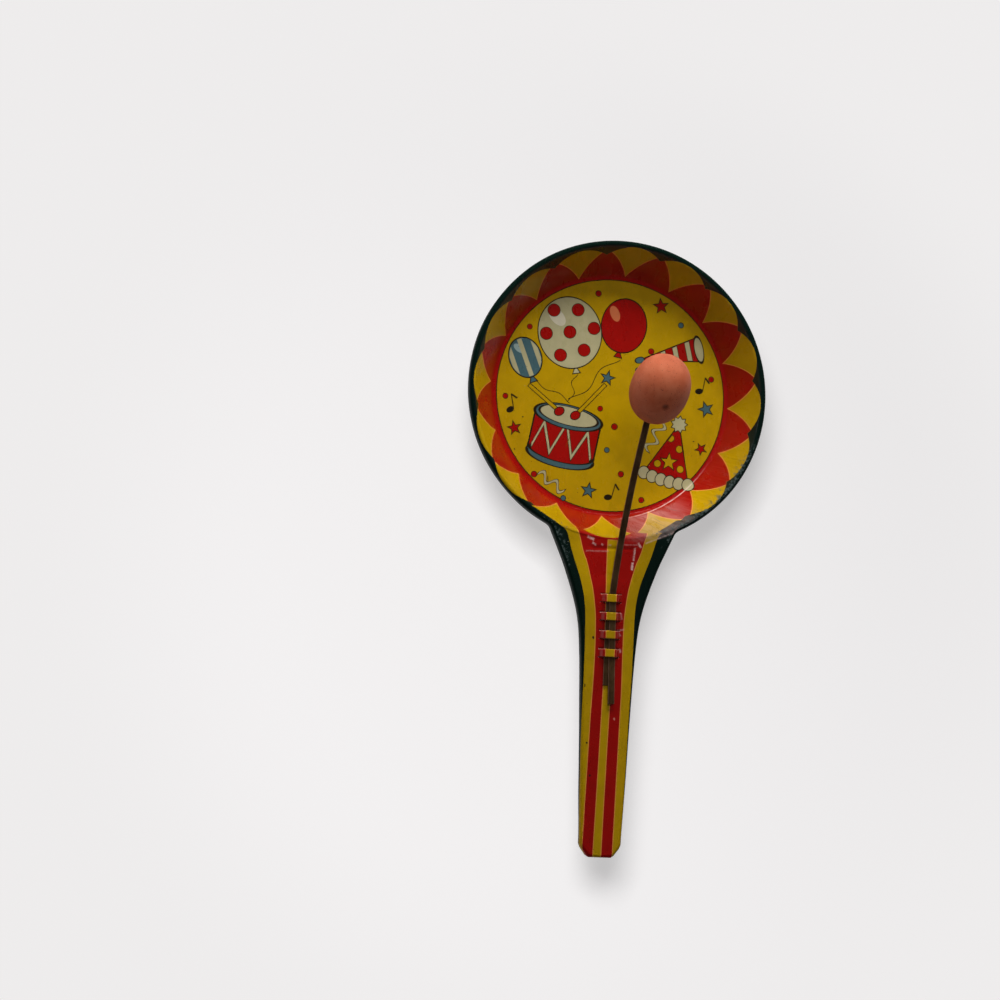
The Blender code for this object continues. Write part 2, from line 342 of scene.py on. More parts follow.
class Spot:
    """A frame laid on the print, with its own origin, turn and units. Frames within frames are
    worked out here, so that each costs the material only its two numbers."""

    def __init__(self, place, origin=(0.0, 0.0), units=((1.0, 0.0), (0.0, 1.0))):
        self.place = place
        self.origin = np.array(origin)
        self.units = np.array(units)

    def frame(self, x, y, turn=0.0, size=(1.0, 1.0)):
        """A frame at x, y of this one, turned by degrees."""
        cosine, sine = math.cos(math.radians(turn)), math.sin(math.radians(turn))
        turned = np.array(((cosine, -sine), (sine, cosine))) * np.array(size)
        return Spot(self.place, self.origin + self.units @ (x, y), self.units @ turned)

    def parts(self):
        """How far across and along this frame each place lies."""
        made = []
        for row in np.linalg.inv(self.units):
            along = self.place.vector("DOT_PRODUCT", (*row, 0.0), out="Value")
            made.append(along - float(row @ self.origin))
        return made

    def to(self, x, y):
        """Distance from a point of this frame, which has the print's own units."""
        return self.place.to(*(self.origin + self.units @ (x, y)))


# Shapes in the print: signed distances in millimetres, below 0 inside.
def oval(spot, x, y, half_width, half_height, turn=0.0):
    across, along = spot.frame(x, y, turn, (half_width, half_height)).parts()
    within = across.math("MULTIPLY_ADD", across, along * along).math("SQRT")
    return (within - 1.0) * min(half_width, half_height)


def block(spot, x, y, half_width, half_height, turn=0.0):
    across, along = spot.frame(x, y, turn).parts()
    return (abs(across) - half_width).most(abs(along) - half_height)


def stroke(spot, start, end, half_width):
    """A straight bar from start to end."""
    run, turn, middle = between(start, end)
    return block(spot, *middle, run / 2, half_width, turn)


def between(start, end):
    """Length, turn and middle of the line between two points."""
    turn = math.degrees(math.atan2(end[1] - start[1], end[0] - start[0]))
    return math.dist(start, end), turn, ((start[0] + end[0]) / 2, (start[1] + end[1]) / 2)


def wavy(spot, x, y, half_length, swing, length, half_width, turn=0.0):
    """A waving line."""
    along, across = spot.frame(x, y, turn).parts()
    wave = (along * (2 * math.pi / length)).math("SINE") * swing
    return (abs(across - wave) - half_width).most(abs(along) - half_length)


def star(spot, x, y, radius, turn=0.0, tips=5, waist=0.42):
    """A star with straight sides."""
    across, along = spot.frame(x, y, turn).parts()
    fold = math.pi / tips
    angle = across.math("ARCTAN2", along).math("PINGPONG", fold)
    edge = math.atan2(waist * math.sin(fold), 1 - waist * math.cos(fold))
    return spot.to(x, y) * (angle + edge).math("SINE") - radius * math.sin(edge)


def cone(spot, x, y, half_width, height, turn=0.0):
    """A triangle standing on its base, whose middle is at x, y."""
    across, along = spot.frame(x, y, turn).parts()
    lean = math.hypot(half_width, height)
    side = abs(across) * (height / lean) + along * (half_width / lean)
    return (side - half_width * height / lean).most(-along)


class Print:
    """Inks laid one over another."""

    def __init__(self, colour, place):
        self.colour = colour
        self.place = Spot(place)

    def lay(self, shape, ink):
        self.colour = shape.map(INK_SOFT, -INK_SOFT).mix(self.colour, ink)

    def drawn(self, shape, ink, line=0.3):
        """A shape with a black outline."""
        self.lay(shape - line / 2, BLACK)
        self.lay(shape + line / 2, ink)

    def trapped(self, shape, ink):
        """A shape whose ink overlaps its neighbour's in a thin lighter line."""
        self.lay(shape - TRAP, TRAP_INK)
        self.lay(shape, ink)


INK_SOFT = 0.05
TRAP = 0.27
TRAP_INK = tint(228, 150, 66)

# The ring: overlapping circles round the disc, slightly off centre and out of round as printed.
DISC_RADIUS = 37.88
DISC_LINE = 0.3
PETALS = 16
PETAL_REACH = 32.25
PETAL_RADIUS = 15.5
LENS_REACH = 33.0
LENS_RADIUS = 15.6
RING_CENTRE = (-0.008, -0.137)
RING_TURN = 0.0495
STRETCH = -0.0091
STRETCH_TURN = 39.1
SIDE_SHIFT = 0.00044

# How much smaller the petals' circles and larger the lenses between them come out by the angle from
# the handle, each with a shift that keeps the curve above 0.
RING_SPAN = (-3.3, 3.3)
SHRINK_SHIFT = 0.7
PETAL_SHRINK = (
    (-3.3, 1.1), (-2.75, 1.3), (-2.45, 1.3), (-2.1, 0.9), (-1.4, 0.7), (-1.2, 0.4), (-0.9, 0.2),
    (-0.66, 0.5), (-0.53, 1.2), (-0.44, 1.7), (-0.33, 1.12), (0.0, 1.0), (0.33, 1.12),
    (0.37, 1.37), (0.47, 1.95), (0.53, 1.4), (0.59, 0.67), (0.65, 0.85), (0.73, 0.52),
    (0.95, 0.32), (1.05, 0.6), (1.2, 1.1), (1.7, 1.25), (2.5, 1.35), (3.0, 1.1), (3.3, 1.1),
)
GROWTH_SHIFT = 0.5
LENS_GROWTH = (
    (-3.3, 0.5), (-2.2, 0.55), (-1.75, 0.75), (-1.3, 0.9), (-0.95, 0.9), (-0.6, 0.75),
    (-0.2, 0.4), (0.2, 0.4), (0.6, 0.9), (0.95, 0.9), (1.35, 0.5), (1.75, 0.2), (2.1, 0.2),
    (2.5, 0.3), (3.3, 0.5),
)

# Half widths of the handle's stripes by distance from the pan's centre.
YELLOW_HALF = (
    (38.0, 28.0), (41.3, 22.0), (44.1, 17.75), (46.2, 15.1), (48.0, 14.4), (52.0, 13.25),
    (57.6, 11.25), (61.5, 9.9), (64.6, 9.1), (68.5, 8.42), (72.3, 8.1), (76.0, 8.0), (150.0, 8.0),
)
RED_HALF = (
    (38.0, 17.0), (44.0, 12.2), (45.1, 11.5), (46.5, 11.0), (48.0, 10.5), (52.0, 9.4),
    (55.7, 7.95), (59.5, 6.9), (64.6, 5.65), (68.5, 5.07), (72.3, 4.66), (76.0, 4.5),
    (103.0, 4.69), (150.0, 4.86),
)
STRIPE_HALF = ((38.0, 1.35), (84.0, 1.3), (103.0, 1.1), (125.0, 1.1), (150.0, 1.2))
STRIPE_FROM = 48.3
HANDLE_SHIFT = (
    (38.0, 0.3), (60.0, 0.25), (72.0, 0.1), (88.0, 0.02), (104.0, 0.31), (120.0, 0.62),
    (150.0, 1.2),
)

# The stripes' curves span these distances, and the stripes start at a slanted line below the disc.
HANDLE_SPAN = (38.0, 150.0)
NECK_SLANT = 0.15
NECK_FROM = 42.6


def ring_and_handle(art):
    """Green rim, striped handle and the ring of overlapping petals."""
    place = art.place
    across, along = place.parts()
    reach = -along
    side = abs(across + reach.curve(HANDLE_SHIFT, *HANDLE_SPAN))
    on_neck = along + across * NECK_SLANT + NECK_FROM
    art.lay((side - reach.curve(YELLOW_HALF, *HANDLE_SPAN)).most(on_neck), YELLOW)
    art.trapped((side - reach.curve(RED_HALF, *HANDLE_SPAN)).most(on_neck), RED)
    art.trapped((side - reach.curve(STRIPE_HALF, *HANDLE_SPAN)).most(along + STRIPE_FROM), YELLOW)
    unit = (1 / (1 + STRETCH), 1 / (1 - STRETCH))
    right, up = place.frame(*RING_CENTRE, STRETCH_TURN, unit).frame(0.0, 0.0, -STRETCH_TURN).parts()
    pitch = 2 * math.pi / PETALS
    turned = right.math("ARCTAN2", -up) + up * SIDE_SHIFT + RING_TURN
    folded = turned.math("PINGPONG", pitch / 2)
    radius = right.math("MULTIPLY_ADD", right, up * up).math("SQRT")
    petal = (radius * folded.math("COSINE")).with_up(radius * folded.math("SINE"))
    shrink = turned.curve(PETAL_SHRINK, *RING_SPAN)
    own = petal.to(PETAL_REACH, 0.0) - PETAL_RADIUS + shrink - SHRINK_SHIFT
    art.lay(own, YELLOW)
    neighbour = (LENS_REACH * math.cos(pitch), LENS_REACH * math.sin(pitch))
    growth = turned.curve(LENS_GROWTH, *RING_SPAN)
    lens = petal.to(*neighbour) - LENS_RADIUS - growth + GROWTH_SHIFT
    art.lay((lens - TRAP).most(own), TRAP_INK)
    art.lay(lens.most(own), RED)
    centre = place.to(0.0, 0.0)
    art.lay(centre - DISC_RADIUS - DISC_LINE, BLACK)
    art.lay(centre - DISC_RADIUS, YELLOW)


def string(place, start, end, swing):
    """A thin waving line from start to end."""
    run, turn, middle = between(start, end)
    return wavy(place, *middle, run / 2, swing, run / 1.4, STRING_HALF, turn)


def balloon(art, x, y, wide, high, turn, ink, shine):
    """A balloon with its knot and a soft highlight. The shape of its body is returned."""
    place = art.place
    lean = math.radians(turn)
    down = (math.sin(lean), -math.cos(lean))
    knot = (x + down[0] * (high + 1.7), y + down[1] * (high + 1.7))
    art.drawn(cone(place, *knot, 1.3, 2.6, turn), ink)
    body = oval(place, x, y, wide, high, turn)
    art.drawn(body, ink, 0.34)
    glint = (x - wide * 0.42, y + high * 0.42)
    art.lay(oval(place, *glint, wide * 0.2, high * 0.3, turn + 32.0), shine)
    return body


def dotted(art, body, dots, ink, radius):
    """Dots on a shape, cut off where the shape ends."""
    for x, y in dots:
        art.drawn((art.place.to(x, y) - radius).most(body + 0.35), ink, 0.22)


STRING_HALF = 0.13
BALLOON_DOTS = (
    (-20.2, 26.6), (-12.2, 27.3), (-6.6, 21.6), (-14.6, 19.8), (-22.4, 18.8), (-9.6, 14.2),
    (-17.4, 12.0),
)
STRIPED = (-29.0, 10.4, 5.4, 6.7, 22.0)
STRIPES_AT = (-4.2, 0.0, 4.2)
GATHER = (-13.5, -3.0)


def balloons(art):
    """Three balloons on strings that meet behind the drum."""
    place = art.place
    for knot, swing in (((-12.1, 6.2), 0.8), ((1.9, 12.5), 1.1), ((-25.8, 3.0), 0.6)):
        art.lay(string(place, knot, GATHER, swing), BLACK)
    balloon(art, 3.4, 23.2, 7.6, 9.0, -9.0, RED, tint(214, 118, 74))
    body = balloon(art, -14.6, 19.6, 10.6, 11.8, 12.0, CREAM, tint(214, 206, 180))
    dotted(art, body, BALLOON_DOTS, RED, 2.05)
    body = balloon(art, *STRIPED, BLUE, tint(150, 172, 168))
    stripe, _ = place.frame(STRIPED[0], STRIPED[1], STRIPED[4]).parts()
    for offset in STRIPES_AT:
        art.lay((abs(stripe + offset) - 0.75).most(body + 0.3), CREAM)


DRUM = (-15.0, -14.6)
DRUM_TURN = -10.0
DRUM_HALF = (11.2, 6.6)
LACE = 3.7


def drum(art):
    """A laced drum with two sticks across it."""
    place = art.place
    wide, high = DRUM_HALF
    spot = place.frame(*DRUM, DRUM_TURN)
    across, along = spot.parts()
    side = abs(across) - wide
    art.drawn((side.most(abs(along) - high)).least(oval(spot, 0.0, -high, wide, 3.6)), BLUE, 0.34)
    foot = oval(spot, 0.0, 1.6 - high, wide - 0.2, 3.4)
    body = (side + 0.2).most(abs(along - 0.9) - high + 0.7).least(foot)
    art.drawn(body, RED, 0.3)
    sag = (across * across) * (-3.2 / wide**2)
    zigzag = (across.math("PINGPONG", LACE) - LACE / 2) * (2 * high / LACE * 0.78) - sag + 0.6
    art.drawn((abs(zigzag + along) * 0.34 - 0.42).most(body + 0.2), CREAM, 0.2)
    art.drawn(oval(spot, 0.0, high, wide + 0.2, 3.9), BLUE, 0.34)
    art.drawn(oval(spot, 0.0, high + 0.35, wide - 1.3, 3.0), CREAM, 0.26)
    for start, end in (((-27.4, 1.6), (-17.0, -6.4)), ((-2.0, 3.4), (-11.6, -7.4))):
        art.drawn(stroke(place, start, end, 0.62), YELLOW, 0.26)
        art.drawn(oval(place, *end, 1.7, 1.35, 30.0), RED, 0.28)


HAT = (19.4, -26.4)
HAT_TURN = -12.0
HAT_HALF = 8.0
HAT_HEIGHT = 19.0


def paper_hat(art):
    """A cone of paper with a ruffle round its foot and a tuft on its tip."""
    spot = art.place.frame(*HAT, HAT_TURN)
    body = cone(spot, 0.0, 0.0, HAT_HALF, HAT_HEIGHT)
    art.drawn(body, RED, 0.34)
    for x, y in ((-3.9, 4.4), (4.0, 4.6), (-1.6, 13.6), (2.1, 10.9)):
        art.drawn((spot.to(x, y) - 1.2).most(body + 0.3), YELLOW, 0.2)
    art.drawn(star(spot, -0.3, 5.9, 3.1, 10.0), YELLOW, 0.24)
    for k in range(6):
        x = (k - 2.5) * 3.05
        art.drawn(oval(spot, x, -0.4 + 0.1 * x * x / HAT_HALF, 1.9, 2.1), CREAM, 0.28)
    art.drawn(star(spot, 0.0, HAT_HEIGHT - 0.2, 2.9, 4.0, 9, 0.7), CREAM, 0.28)


HORN = (29.0, 17.2)
HORN_TURN = 104.0


def horn(art):
    """A paper horn with a fringe of stripes."""
    spot = art.place.frame(*HORN, HORN_TURN)
    body = cone(spot, 0.0, 0.0, 4.1, 21.0)
    art.drawn(body, RED, 0.32)
    _, along = spot.parts()
    for y in (3.6, 8.0, 12.2):
        art.drawn((abs(along - y) - 0.85).most(body + 0.2), CREAM, 0.2)
    art.drawn(oval(spot, 0.0, 0.0, 4.4, 1.5), CREAM, 0.3)
    art.drawn(oval(spot, 0.0, 20.4, 1.0, 1.6), BLUE, 0.26)


def note(art, x, y, turn):
    """A note: a slanted head, a stem and a flag."""
    spot = art.place.frame(x, y, turn)
    art.lay(oval(spot, 0.0, 0.0, 1.35, 0.95, 20.0), BLACK)
    art.lay(stroke(spot, (1.15, 0.2), (1.15, 5.0), 0.16), BLACK)
    art.lay(stroke(spot, (1.1, 4.9), (2.9, 3.3), 0.28), BLACK)


STARS = (
    (15.6, 30.6, 2.6, 8.0, RED),
    (-1.4, 5.6, 2.5, -12.0, BLUE),
    (32.2, -2.4, 2.7, 20.0, BLUE),
    (-31.6, -12.8, 2.3, 15.0, RED),
    (-6.2, -31.6, 2.6, -8.0, BLUE),
    (31.0, -15.6, 2.0, 30.0, RED),
)
CONFETTI = (
    (-5.6, 33.2, 0.95, RED), (22.6, 24.8, 0.9, BLUE), (12.9, 15.4, 0.95, RED),
    (33.6, 7.6, 0.9, RED), (1.6, -10.2, 1.0, RED), (-0.6, -18.0, 0.85, BLUE),
    (-24.4, -27.4, 0.95, RED), (4.4, -25.6, 0.95, RED), (-3.4, -4.6, 0.85, RED),
    (-28.0, 20.6, 0.85, RED), (8.6, 8.9, 0.8, BLUE), (11.6, -33.6, 0.9, RED),
    (-14.4, -34.6, 0.85, BLUE), (-35.0, -2.6, 0.85, RED),
)
NOTES = ((29.6, 3.4, -10.0), (-33.2, -6.9, 12.0), (0.4, -33.4, -14.0))


def small_things(art):
    """Stars, confetti, notes and two curled streamers."""
    place = art.place
    for x, y, radius, turn, ink in STARS:
        art.drawn(star(place, x, y, radius, turn), ink, 0.28)
    for x, y, radius, ink in CONFETTI:
        art.drawn(place.to(x, y) - radius, ink, 0.22)
    for x, y, turn in NOTES:
        note(art, x, y, turn)
    art.drawn(wavy(place, 15.4, -12.6, 5.6, 1.5, 5.4, 0.62, 64.0), CREAM, 0.24)
    art.drawn(wavy(place, -18.6, -29.6, 5.2, 1.3, 5.0, 0.6, -32.0), CREAM, 0.24)


def printed_colour(place):
    """The whole print. The disc's picture is a plain party design."""
    art = Print(GREEN, place)
    ring_and_handle(art)
    for draw in (balloons, drum, paper_hat, horn, small_things):
        draw(art)
    return art.colour


# Marks at known places as x, y, half width, half height, turn and ink: wear, and on the pan's wall
# thin dark lines of painted shade along its wrinkles.
MARKS = (
    (-5.27, -79.6, 0.32, 0.5, 10.0, BLACK),
    (-7.44, -94.9, 0.3, 0.55, 0.0, BLACK),
    (-5.94, -113.0, 0.35, 0.3, 0.0, BLACK),
    (2.67, -105.1, 0.3, 0.45, 20.0, tint(205, 120, 105)),
    (-4.52, -123.3, 0.4, 0.25, 30.0, BLACK),
    (-28.96, -9.02, 0.3, 0.22, 0.0, BLACK),
    (-31.2, -19.7, 0.22, 0.3, 15.0, BLACK),
    (-19.8, -28.5, 0.16, 0.9, 8.0, BLACK),
    (28.4, -13.3, 0.3, 0.2, 0.0, BLACK),
    (-13.6, -15.9, 0.12, 1.6, -20.0, tint(120, 88, 20)),
    # Painted shade: the next four are thin dark lines along the wrinkles of the pan's wall.
    (15.58, -40.34, 1.38, 0.1, -39.0, tint(150, 118, 30)),
    (15.90, -41.77, 1.62, 0.09, -32.0, tint(150, 118, 30)),
    (13.68, -42.88, 0.86, 0.09, -50.0, tint(150, 118, 30)),
    (21.36, -36.64, 1.56, 0.1, -20.0, tint(116, 22, 22)),
)


# Painted highlights: glints of light caught by the varnish on the crest, the neck and the loops, as
# two ends, half width and strength.
HIGHLIGHT_TINT = tint(255, 222, 214)
PAINTED_GLINTS = (
    ((-8.44, -47.51), (-6.46, -48.28), 0.3, 0.7),
    ((-6.72, -49.4), (-5.66, -49.88), 0.2, 0.85),
    ((-3.79, -49.68), (-3.32, -49.88), 0.2, 0.85),
    ((-1.3, -49.76), (-0.83, -49.83), 0.15, 0.6),
    ((8.31, -48.74), (9.08, -50.07), 0.2, 0.7),
    ((7.2, -50.41), (6.89, -54.33), 0.16, 0.75),
    ((6.6, -55.1), (6.46, -57.34), 0.22, 1.0),
    ((-8.71, -52.03), (-1.45, -51.84), 0.12, 0.3),
    ((3.16, -49.5), (7.86, -49.32), 0.1, 0.25),
    ((10.67, -48.6), (19.83, -44.63), 0.12, 0.45),
    ((3.42, -71.45), (3.79, -73.35), 0.15, 0.3),
    ((2.6, -76.96), (4.59, -76.63), 0.15, 0.4),
    ((3.07, -77.89), (3.46, -78.64), 0.18, 0.35),
    ((3.61, -82.91), (3.84, -83.85), 0.2, 0.4),
)

# A painted highlight: the pale line along the bend at the wall's foot, as centre and radius.
BEND_HIGHLIGHT = (-2.79, 1.07, 42.03)

# The pan's wall as the painted reflection (a pale haze) and the wrinkles take it, by distance from
# the centre: where each begins and is full, and where it begins to end and is gone.
PAINTED_HAZE_WALL = (40.0, 40.8, 48.2, 49.6)
WRINKLED_WALL = (39.0, 41.0, 45.5, 48.0)
WRINKLE_TURN = -24.0

# Painted light: where the ink is made lighter to stand for more light there, by its middle, how far
# out it starts and is full, and its amount.
NECK_PAINTED_LIGHT = (-4.0, -56.0, 17.0, 4.0, 1.4)
RING_PAINTED_LIGHT = (24.0, -37.0, 17.0, 4.0, 0.22)

# A painted highlight on the rim above each loop and a painted shadow on the rim below it, along the
# slits: how far out they end, and for each rim the side, how far out it starts, its ink and its
# strength.
SLIT_MARK_TO = 3.35
SLIT_LIGHT_AND_SHADE = ((-1, 1.6, tint(236, 170, 150), 0.75), (1, 0.0, tint(70, 6, 6), 0.8))


def painted_glints_and_slit_shade(colour, place):
    """Painted glints, and the slits' rims: a painted highlight above each loop and a painted shadow
    below it.
    """
    broken = place.noise(1.2, 3.0, 0.6).map(0.36, 0.56, 0.45, 1.0)
    ragged = place.noise(1.0, 3.0, 0.6) * 0.7 - 0.35
    spot = Spot(place)
    # Painted highlights: each stroke is a pale glint laid into the colour.
    for start, end, half_width, strength in PAINTED_GLINTS:
        line = (stroke(spot, start, end, half_width) + ragged).map(0.26, -0.16)
        colour = (line * broken * strength).mix(colour, HIGHLIGHT_TINT)
    across, along = spot.parts()
    side = abs(across)
    middle = LOOP_FIRST + LOOP_PITCH * (LOOP_COUNT - 1) / 2
    within = abs(along + middle) - LOOP_PITCH * LOOP_COUNT / 2
    # Painted highlight above each loop and painted shadow below it.
    for edge, start, ink, strength in SLIT_LIGHT_AND_SHADE:
        near = (-along - LOOP_FIRST - edge * LOOP_WIDTH / 2).math("PINGPONG", LOOP_PITCH / 2)
        line = (near - 0.14).most(side - SLIT_MARK_TO, -side + start, within).map(0.1, -0.1)
        colour = (line * broken * strength).mix(colour, ink)
    return colour


def painted_haze_and_bend_glint(colour, place):
    """A painted reflection: pale haze in oblique wrinkles on the pan's wall toward the lower right,
    and a painted highlight along the bend at the wall's foot."""
    radius = place.vector("LENGTH", out="Value")
    # Painted reflection: a pale haze on the wall toward the lower right.
    near = place.to(15.5, -42.0).map(15.5, 5.0, soft=True)
    start, full, ending, gone = PAINTED_HAZE_WALL
    near = near * radius.map(start, full) * radius.map(gone, ending)
    across, along = Spot(place).frame(0.0, 0.0, WRINKLE_TURN).parts()
    folds = across.with_up(along).noise(0.5, 4.0, 0.6, (0.3, 1.2, 1.0)).map(0.36, 0.58, 0.35, 1.0)
    colour = (near * folds * 0.2).mix(colour, HIGHLIGHT_TINT)
    x, y, reach = BEND_HIGHLIGHT
    # Painted highlight: a pale line along the bend at the wall's foot.
    pale_band = abs(place.to(x, y) - reach).map(0.22, 0.05)
    pale_band = pale_band * place.to(19.5, -34.5).map(21.0, 5.0, soft=True)
    broken = place.noise(0.5, 3.0, 0.6).map(0.36, 0.54, 0.35, 0.7)
    return (pale_band * broken).mix(colour, HIGHLIGHT_TINT)


def shade(colour, amount):
    """A colour made lighter or darker by a field."""
    return colour.new("VectorMath", {0: colour, "Scale": amount}, operation="SCALE")


def specks(place, scale, share, size):
    """Small spots, 1 inside, on a share of the cells of a random pattern."""
    chance, _, _ = place.cells(scale, out="Color").parts()
    near = place.cells(scale).map(size, size * 0.6)
    return near * chance.map(1 - share, 1 - share + 0.02)


def worn_places(place, edge):
    """Where ink is gone: 1 in patches along the rolled edge at its worn places."""
    right_rim = place.to(33.0, -33.0).map(34.0, 16.0)
    left_neck = place.to(-19.5, -51.0).map(13.0, 5.0)
    amount = right_rim.most(left_neck) * 0.22 - 0.05
    patches = place.noise(0.8, 6.0, 0.7)
    level = patches + amount + edge.map(-1.6, 0.4) * 0.07
    return level.map(0.7, 0.75) * edge.map(-2.6, -0.9)


def tin_print():
    """Litho print under varnish, worn along the rolled edge, with painted light: lighter ink at the
    neck and the ring's lower right, painted glints, a painted reflection on the wall, and painted
    light and shade at the slits.
    """
    made = new_material("litho_print")
    place = stored(made, "flat")
    edge = stored(made, "border", "Fac")
    colour = printed_colour(place)
    drift = place.noise(0.16, 3.0, 0.6).map(0.3, 0.7, 0.9, 1.06)
    grain = place.noise(4.5, 3.0, 0.6).map(0.3, 0.7, 0.95, 1.04)
    # Painted light: the ink is made lighter toward the neck and the ring's lower right, where more
    # light falls.
    x, y, far, near, amount = NECK_PAINTED_LIGHT
    painted_light = place.to(x, y).map(far, near, 1.0, amount, soft=True)
    x, y, far, near, amount = RING_PAINTED_LIGHT
    painted_light = painted_light + place.to(x, y).map(far, near, 0.0, amount)
    colour = shade(colour, drift * grain * painted_light)
    ragged = place.noise(3.5) * 0.25 - 0.12
    for x, y, wide, high, turn, ink in MARKS:
        mark = oval(Spot(place), x, y, wide, high, turn) + ragged
        colour = mark.map(0.06, -0.06).mix(colour, ink)
    colour = (specks(place, 0.32, 0.22, 0.055) * 0.75).mix(colour, BLACK)
    colour = (specks(place, 0.21, 0.16, 0.04) * 0.6).mix(colour, CREAM)
    colour = painted_glints_and_slit_shade(painted_haze_and_bend_glint(colour, place), place)
    worn = worn_places(place, edge)
    bare = place.noise(1.7, 4.0, 0.6).map(0.35, 0.65).mix(tint(52, 70, 66), BARE)
    colour = (worn * 0.8).mix(colour, bare)
    smears = place.noise(0.22, 4.0, 0.6, (1.0, 0.6, 1.0))
    looks = {
        "Base Color": colour,
        "Metallic": worn * 0.35,
        "Roughness": smears.map(0.3, 0.7, 0.22, 0.36).most(worn * 0.55),
        "Specular IOR Level": 0.3,
        "Coat Weight": edge.map(-0.2, 0.4, 0.3, 0.0) * worn.map(0.0, 1.0, 1.0, 0.2),
        "Coat Roughness": 0.08,
    }
    return dressed(made, looks, sheet_relief(place, worn))


def rubbed_lip():
    """The print where the edge turns down, dulled by handling."""
    made = new_material("rubbed_lip")
    place = stored(made, "flat")
    art = Print(GREEN, place)
    ring_and_handle(art)
    grain = place.noise(2.5, 4.0, 0.65).map(0.3, 0.7, 0.75, 1.1)
    chips = place.noise(1.1, 6.0, 0.75)
    colour = (chips.map(0.6, 0.64) * 0.6).mix(shade(art.colour, grain), tint(26, 34, 30))
    colour = (chips.map(0.68, 0.7) * 0.7).mix(colour, tint(84, 96, 92))
    looks = {
        "Base Color": colour,
        "Roughness": grain.map(0.7, 1.1, 0.7, 0.55),
        "Specular IOR Level": 0.08,
    }
    return dressed(made, looks, place.noise(1.4, 4.0, 0.6) * 0.02)


def sheet_relief(place, worn):
    """Orange peel in the varnish, wrinkles on the pan's wall, and the step where ink is gone."""
    peel = place.noise(0.55, 3.0, 0.5) * 0.012 + place.noise(3.2, 2.0, 0.5) * 0.0012
    radius = place.vector("LENGTH", out="Value")
    start, full, ending, gone = WRINKLED_WALL
    wall = radius.map(start, full) * radius.map(gone, ending)
    wrinkled = place.to(33.0, -28.0).map(27.0, 12.0) * wall
    across, along = Spot(place).frame(0.0, 0.0, WRINKLE_TURN).parts()
    wrinkles = across.with_up(along).noise(0.62, 2.0, 0.5, (0.22, 1.5, 1.0)) * wrinkled * 0.24
    return peel + wrinkles - worn * 0.012


def tin_back():
    """Bare tin: rolled finish, stains and a little rust."""
    made = new_material("tin_back")
    place = stored(made, "flat")
    clouds = place.noise(0.09, 5.0, 0.6)
    colour = clouds.map(0.35, 0.65).mix(tint(126, 124, 116), tint(162, 160, 152))
    lines = place.noise(1.1, 4.0, 0.6, (3.0, 0.06, 1.0))
    colour = (lines.map(0.4, 0.75) * 0.35).mix(colour, tint(108, 104, 94))
    stain = place.noise(0.2, 6.0, 0.7).map(0.6, 0.68)
    colour = (stain * 0.45).mix(colour, tint(112, 78, 44))
    rust = specks(place, 0.3, 0.3, 0.12)
    colour = (rust * 0.8).mix(colour, tint(84, 48, 26))
    looks = {
        "Base Color": colour,
        "Metallic": (stain * 0.4).most(rust).map(0.0, 1.0, 0.95, 0.2),
        "Roughness": clouds.map(0.3, 0.7, 0.3, 0.44) + stain * 0.2 + lines * 0.08,
    }
    return dressed(made, looks, lines * 0.004 + place.noise(0.5, 2.0) * 0.012)


def raw_edge():
    """The cut edge of the sheet, darkened by age."""
    made = new_material("raw_edge")
    place = stored(made, "flat")
    mottle = place.noise(1.3, 4.0, 0.65)
    looks = {
        "Base Color": mottle.map(0.35, 0.7).mix(tint(30, 20, 14), tint(66, 54, 44)),
        "Metallic": mottle.map(0.4, 0.6, 0.0, 0.25),
        "Roughness": mottle.map(0.3, 0.7, 0.62, 0.45),
    }
    return dressed(made, looks, place.noise(5.0, 2.0) * 0.01)


# Geometry helpers.
def smooth_line(points, at):
    """Values on a smooth curve through (distance, value) points."""
    reach, value = np.array(points, float).T
    slope = np.gradient(value, reach)
    at = np.asarray(at, float)
    k = np.clip(np.searchsorted(reach, at) - 1, 0, len(reach) - 2)
    step = reach[k + 1] - reach[k]
    share = (at - reach[k]) / step
    return hermite(value[k], value[k + 1], slope[k] * step, slope[k + 1] * step, share)


def hermite(a, b, slope_a, slope_b, share):
    """A cubic from a to b over a unit step, with its slopes at both ends given per step."""
    s2, s3 = share * share, share**3
    start = (2 * s3 - 3 * s2 + 1) * a + (s3 - 2 * s2 + share) * slope_a
    return start + (3 * s2 - 2 * s3) * b + (s3 - s2) * slope_b


def smooth_step(value, low, high):
    share = np.clip((value - low) / (high - low), 0.0, 1.0)
    return share * share * (3 - 2 * share)


def bend(corner, before, after, radius, steps):
    """Points of a round bend between two directions that meet at a corner."""
    corner, before, after = (Vector(v) for v in (corner, before, after))
    reach = radius * math.tan(before.angle(after) / 2)
    start, end = corner - before * reach, corner + after * reach
    shares = [k / steps for k in range(steps + 1)]
    return [start.lerp(corner, s).lerp(corner.lerp(end, s), s) for s in shares]


def dish_profile():
    """Radius and height of the printed face, from near the centre to the crest of the rim."""
    up = (math.cos(WALL_LEAN), math.sin(WALL_LEAN))
    crest_radius = FLOOR_RADIUS + DISH_DEPTH / math.tan(WALL_LEAN)
    low = bend((FLOOR_RADIUS, -DISH_DEPTH), (1, 0), up, FLOOR_BEND, BEND_STEPS)
    high = bend((crest_radius, 0.0), up, (1, 0), CREST_BEND, BEND_STEPS)
    floor = [Vector((low[0].x * k / FLOOR_STEPS, -DISH_DEPTH)) for k in range(1, FLOOR_STEPS)]
    wall = [low[-1].lerp(high[0], k / WALL_STEPS) for k in range(1, WALL_STEPS)]
    return np.array(floor + low + wall + high)


def inset(reach):
    """Half width of neck and handle where the rounding of the edge begins."""
    small = 0.01
    before, after = (smooth_line(OUTLINE, reach + step) for step in (-small, small))
    slope = (after - before) / (2 * small)
    return smooth_line(OUTLINE, reach) - EDGE_ROUND * np.hypot(1.0, slope)


